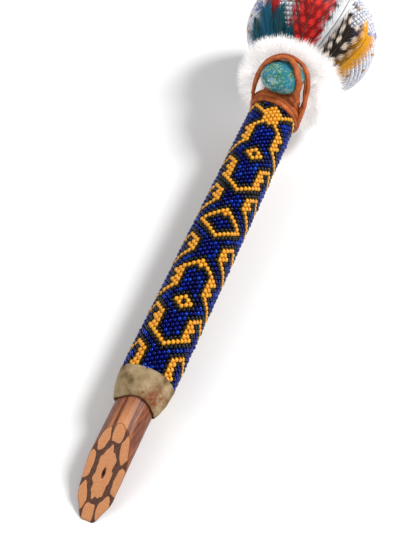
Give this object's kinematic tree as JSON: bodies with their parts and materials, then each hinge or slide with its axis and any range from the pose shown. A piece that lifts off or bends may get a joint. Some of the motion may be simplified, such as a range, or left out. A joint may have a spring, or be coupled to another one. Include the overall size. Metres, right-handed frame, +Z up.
{
  "type": "beaded gourd rattle",
  "caption": "Gourd rattle with a beaded grip on a slant-cut vine handle, a laced stone, a fur collar, feathers and a white beaded head.",
  "frame": {"origin": "middle of the bounding box on the floor it lies on", "axes": "+Y from the slant-cut tip towards the head, +Z up, the laced stone on the upper side"},
  "size_m": [0.0682, 0.2974, 0.0703],
  "materials": {
    "vine_wood": "polished bark, tan end grain",
    "tan_hide": "napped suede",
    "grip_beads": "glossy blue, black and yellow beads",
    "brown_lace": "matt lace",
    "gasket_hide": "raw hide",
    "pine_pitch": "dark pitch",
    "pad_leather": "matt",
    "turquoise": "polished",
    "stone_lace": "matt lace",
    "gourd": "dry gourd rind",
    "white_beads": "glossy white beads",
    "pelt_hide": "raw hide",
    "quill_thread": "twisted thread",
    "white_fur": "soft fur",
    "feather_teal_left": "feather vane",
    "feather_teal_middle": "feather vane",
    "feather_teal_right": "feather vane",
    "feather_teal_short": "feather vane",
    "feather_red_plain": "feather vane",
    "feather_red_spotted": "feather vane",
    "feather_white_silky": "feather vane",
    "feather_black_spotted": "feather vane",
    "feather_gold": "feather vane",
    "feather_beige_fluff": "feather vane",
    "seed": "smooth seed coat"
  },
  "bodies": {
    "rattle": {"vine_core": "vine_wood", "hide_grip_sleeve": "tan_hide", "bead_sleeve": "grip_beads", "neck_wrap_lower": "brown_lace", "neck_wrap_upper": "brown_lace", "neck_gasket": "gasket_hide", "pitch_ring": "pine_pitch", "stone_seat_pad": "pad_leather", "turquoise_stone": "turquoise", "stone_lace_outer": "stone_lace", "stone_lace_inner": "stone_lace", "gourd_shell": "gourd", "gourd_bead_skin": "white_beads", "pelt_strip": "pelt_hide", "quill_binding": "quill_thread", "fur_collar": "white_fur", "feather_teal_left": "feather_teal_left", "feather_teal_middle": "feather_teal_middle", "feather_teal_right": "feather_teal_right", "feather_teal_short": "feather_teal_short", "feather_red_plain": "feather_red_plain", "feather_red_spotted": "feather_red_spotted", "feather_white_silky": "feather_white_silky", "feather_black_spotted": "feather_black_spotted", "feather_gold": "feather_gold", "feather_beige_fluff": "feather_beige_fluff"},
    "rattle_seed_1": {"rattle_seed_1": "seed"},
    "rattle_seed_2": {"rattle_seed_2": "seed"},
    "rattle_seed_3": {"rattle_seed_3": "seed"},
    "rattle_seed_4": {"rattle_seed_4": "seed"},
    "rattle_seed_5": {"rattle_seed_5": "seed"},
    "rattle_seed_6": {"rattle_seed_6": "seed"},
    "rattle_seed_7": {"rattle_seed_7": "seed"},
    "rattle_seed_8": {"rattle_seed_8": "seed"}
  },
  "joints": [
    {"name": "seed_1_slide", "type": "slide", "parent": "rattle", "child": "rattle_seed_1", "axis": [0, -0.0937, 0.9956], "range_m": [0, 0.0413]},
    {"name": "seed_2_slide", "type": "slide", "parent": "rattle", "child": "rattle_seed_2", "axis": [0, -0.0937, 0.9956], "range_m": [0, 0.0469]},
    {"name": "seed_3_slide", "type": "slide", "parent": "rattle", "child": "rattle_seed_3", "axis": [0, -0.0937, 0.9956], "range_m": [0, 0.0454]},
    {"name": "seed_4_slide", "type": "slide", "parent": "rattle", "child": "rattle_seed_4", "axis": [0, -0.0937, 0.9956], "range_m": [0, 0.0516]},
    {"name": "seed_5_slide", "type": "slide", "parent": "rattle", "child": "rattle_seed_5", "axis": [0, -0.0937, 0.9956], "range_m": [0, 0.0424]},
    {"name": "seed_6_slide", "type": "slide", "parent": "rattle", "child": "rattle_seed_6", "axis": [0, -0.0937, 0.9956], "range_m": [0, 0.0464]},
    {"name": "seed_7_slide", "type": "slide", "parent": "rattle", "child": "rattle_seed_7", "axis": [0, -0.0937, 0.9956], "range_m": [0, 0.0473]},
    {"name": "seed_8_slide", "type": "slide", "parent": "rattle", "child": "rattle_seed_8", "axis": [0, -0.0937, 0.9956], "range_m": [0, 0.0432]}
  ]
}
